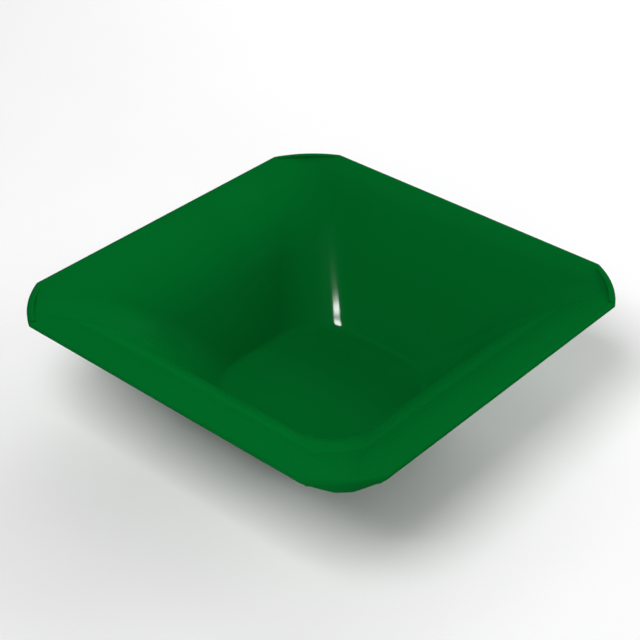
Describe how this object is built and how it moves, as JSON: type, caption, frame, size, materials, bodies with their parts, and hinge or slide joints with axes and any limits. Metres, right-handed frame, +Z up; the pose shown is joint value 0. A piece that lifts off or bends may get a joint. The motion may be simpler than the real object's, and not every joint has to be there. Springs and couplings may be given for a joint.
{
  "type": "gold pan",
  "caption": "Square gold pan moulded in one piece: flat floor, flared walls rolling into a nearly level lip, corners trimmed to an arc. For washing gravel to leave gold and heavy minerals.",
  "frame": {"origin": "centre of the flat underside of the floor, on the surface that the pan stands on", "axes": "+Z up, out of the pan's mouth; +X and +Y square to the straight sides"},
  "size_m": [0.3048, 0.3048, 0.0804],
  "materials": {
    "pan": "smooth moulded polypropylene, evenly dyed dark green, glossy"
  },
  "bodies": {
    "root": {"pan": "pan"}
  },
  "joints": []
}
